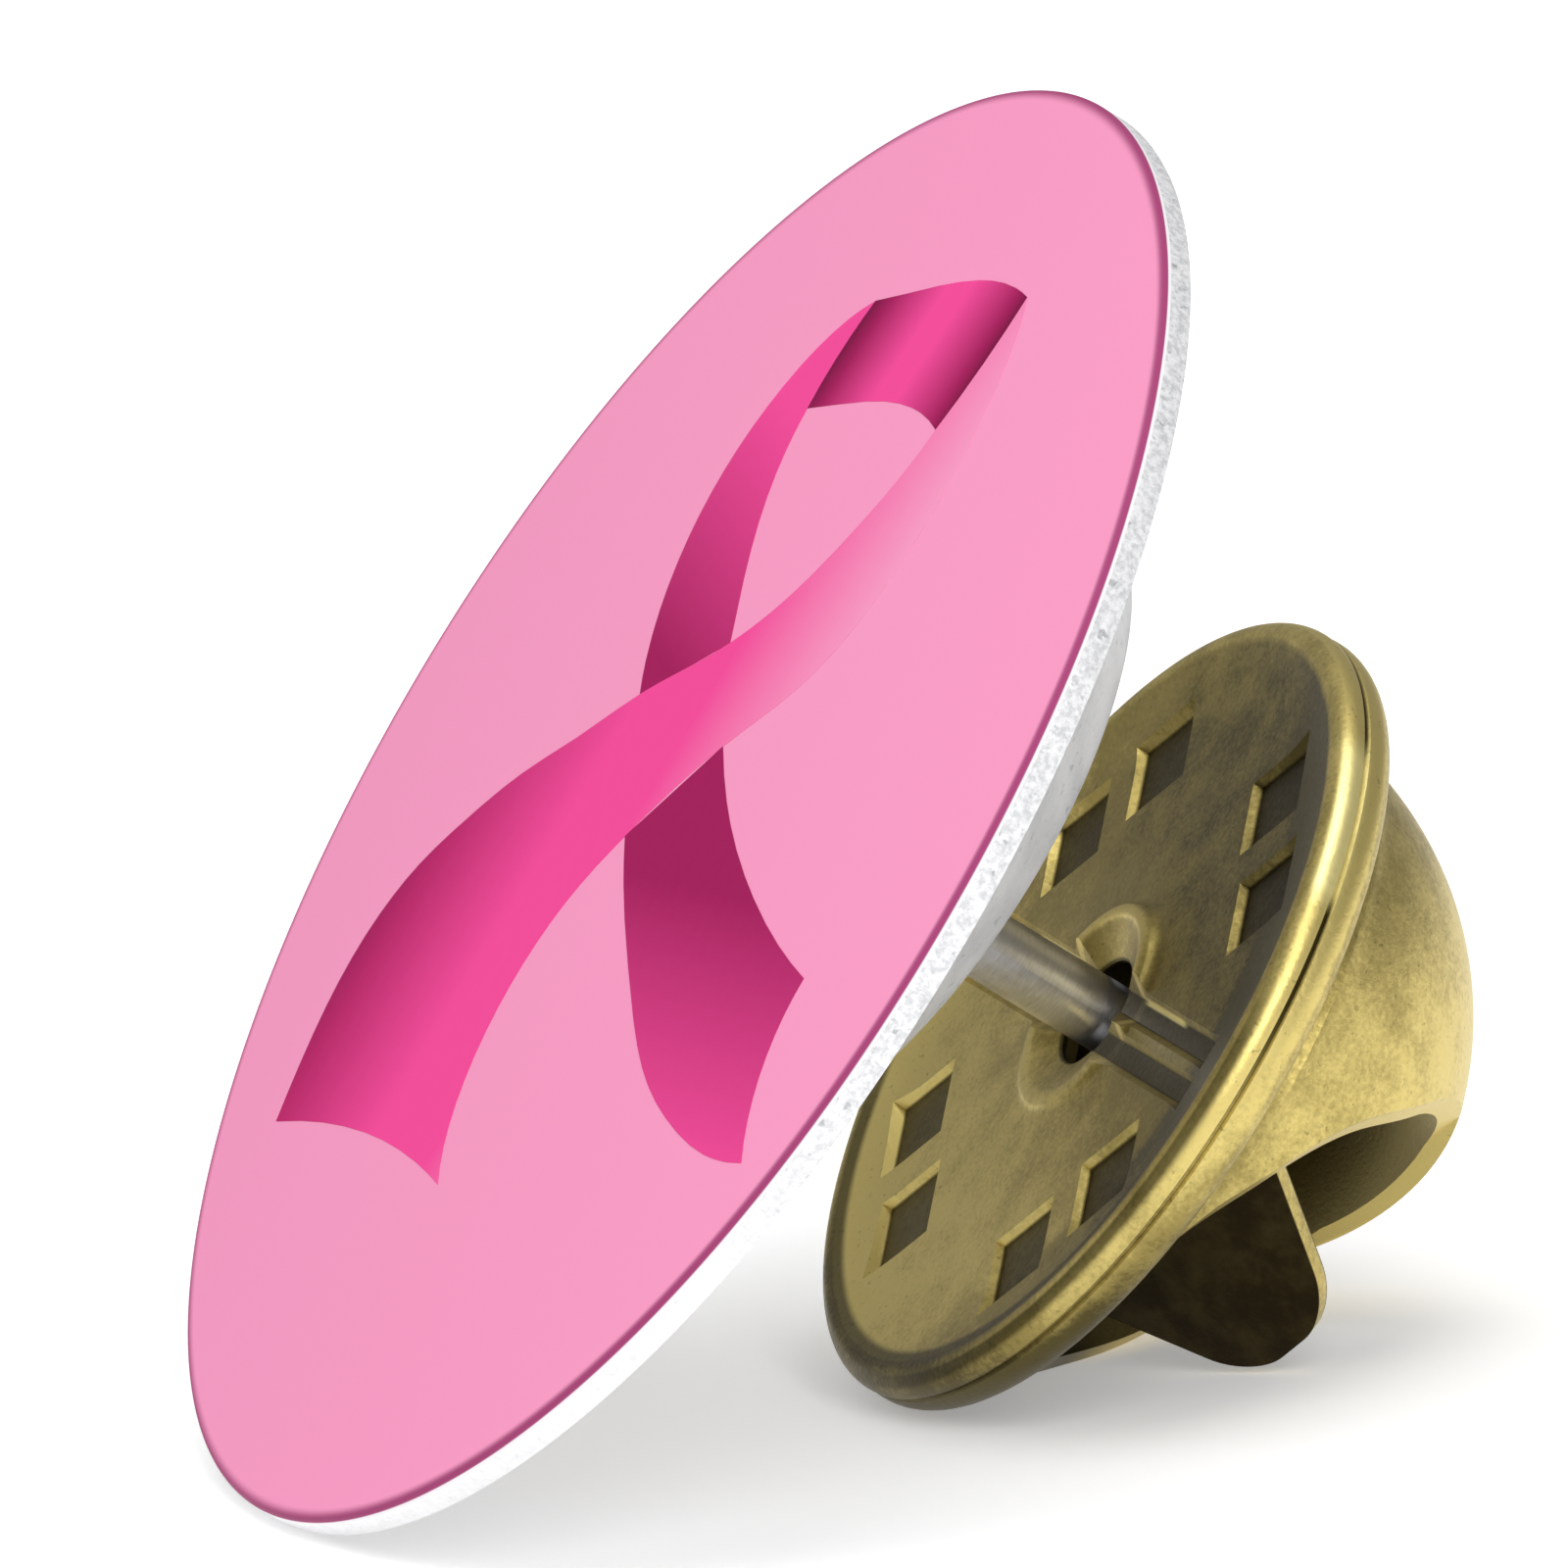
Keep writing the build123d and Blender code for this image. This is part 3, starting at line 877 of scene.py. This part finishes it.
def make_wing(name, place, body, node):
    """One wing: a strip bent up at its heel, widened at its shoulders and rounded at its tip."""
    foot_end = heel_radius - heel_round
    foot_length = foot_end - jaw_half_gap
    bpy.ops.mesh.primitive_plane_add(size=1, location=(0, (foot_end + jaw_half_gap) / 2, foot_height))
    piece = new_piece()
    bpy.ops.transform.resize(value=(2 * jaw_half_width, foot_length, 1))
    pick(piece, "EDGE", lambda point, normal: point.y > foot_end - 0.001)
    bend = math.pi / 2 - wing_lean
    bend_radius = heel_round / math.tan(bend / 2)
    here = Vector((0, foot_end, foot_height))
    for step in range(1, bend_steps + 1):
        angle = bend * step / bend_steps
        there = Vector((0, foot_end, foot_height + bend_radius))
        there += bend_radius * Vector((0, math.sin(angle), -math.cos(angle)))
        bpy.ops.mesh.extrude_region_move(TRANSFORM_OT_translate={"value": there - here})
        here = there
    half_width = jaw_half_width
    for step in range(1, blade_steps + 1):
        share = math.sin(math.pi / 2 * step / blade_steps)
        along = heel_round + (wing_reach - heel_round) * share
        there = Vector((0, heel_radius, foot_height))
        there += along * Vector((0, math.sin(wing_lean), math.cos(wing_lean)))
        bpy.ops.mesh.extrude_region_move(TRANSFORM_OT_translate={"value": there - here})
        next_half_width = max(blade_half_width(along), tip_end_half_width)
        bpy.ops.transform.resize(value=(next_half_width / half_width, 1, 1), center_override=there)
        here, half_width = there, next_half_width
    close_up()
    bpy.ops.object.mode_set(mode="OBJECT")
    add_modifier(piece, "SOLIDIFY", thickness=wing_thickness, offset=0, use_even_offset=True)
    bpy.ops.mesh.primitive_cylinder_add(
        vertices=hole_corners, radius=post_radius + jaw_clearance, depth=1, location=(0, 0, foot_height))
    cut(piece, bpy.context.object)
    add_modifier(piece, "BEVEL", width=wing_edge_round, segments=3, angle_limit=math.radians(50))
    set_in_place(piece, name, place, wing_finish(name + "_brass", place))
    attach(piece, body)
    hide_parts(node)


# The picture: floor, light and camera, in metres
floor_size = 6
floor_glow = 0.3
surround_strength = 0.32


def make_floor():
    """A plain pale floor that fills the view."""
    bpy.ops.mesh.primitive_plane_add(size=floor_size)
    floor = bpy.context.object
    floor.name = "floor"
    finish = Finish("pale_floor", roughness=0.9, base_color=(0.9, 0.9, 0.9, 1),
                    emission_color=(1, 1, 1, 1), emission_strength=floor_glow)
    floor.data.materials.append(finish.material)


def add_light(name, direction, distance, size, power):
    """A soft square light that looks at the pin from a direction."""
    middle = pin_place.translation
    place = middle + Vector(direction).normalized() * distance
    bpy.ops.object.light_add(type="AREA", location=place)
    light = bpy.context.object
    light.name = name
    light.data.size = size
    light.data.energy = power
    light.rotation_mode = "QUATERNION"
    light.rotation_quaternion = (place - middle).to_track_quat("Z", "Y")


def make_light():
    """Soft studio light, and an even pale surrounding."""
    bpy.context.scene.view_settings.view_transform = "Standard"
    world = bpy.data.worlds.new("studio")
    bpy.context.scene.world = world
    world.use_nodes = True
    surround = world.node_tree.nodes["Background"]
    surround.inputs["Color"].default_value = (1, 1, 1, 1)
    surround.inputs["Strength"].default_value = surround_strength
    add_light("overhead", (0.1, -0.1, 1), 0.5, 0.5, 2.0)
    add_light("beside_camera", (0.9, -0.05, 0.5), 0.6, 0.3, 1.4)


def make_camera():
    """A long lens that sees the face from far round its right side, its top leaning right."""
    face_slant = math.radians(69.26)
    face_lean = math.radians(31.12)
    view_center = (1.526, 0.249)
    view_width = 21.277
    distance = 0.8
    nearest, furthest = 0.05, 20
    top = Vector((0, 1, 0))
    across = Vector((math.cos(face_slant), 0, -math.sin(face_slant)))
    turn = stance.to_3x3()
    right = turn @ (math.sin(face_lean) * top + math.cos(face_lean) * across)
    up = turn @ (math.cos(face_lean) * top - math.sin(face_lean) * across)
    toward = right.cross(up)
    middle = pin_place.translation + (right * view_center[0] + up * view_center[1]) * millimetre
    bpy.ops.object.camera_add()
    camera = bpy.context.object
    place = Matrix((right, up, toward)).transposed().to_4x4()
    place.translation = middle + toward * distance
    camera.matrix_world = place
    camera.data.lens = distance * camera.data.sensor_width / (view_width * millimetre)
    camera.data.clip_start = nearest
    camera.data.clip_end = furthest
    bpy.context.scene.camera = camera


make_camera()
make_light()
make_floor()
make_face_print()
make_ribbon()
make_base()
finish_post()
make_plate()
make_cap()
make_wing("near_sprung_wing", near_wing_place, "near_wing", "near_wing")
make_wing("far_sprung_wing", far_wing_place, "far_wing", "far_wing")
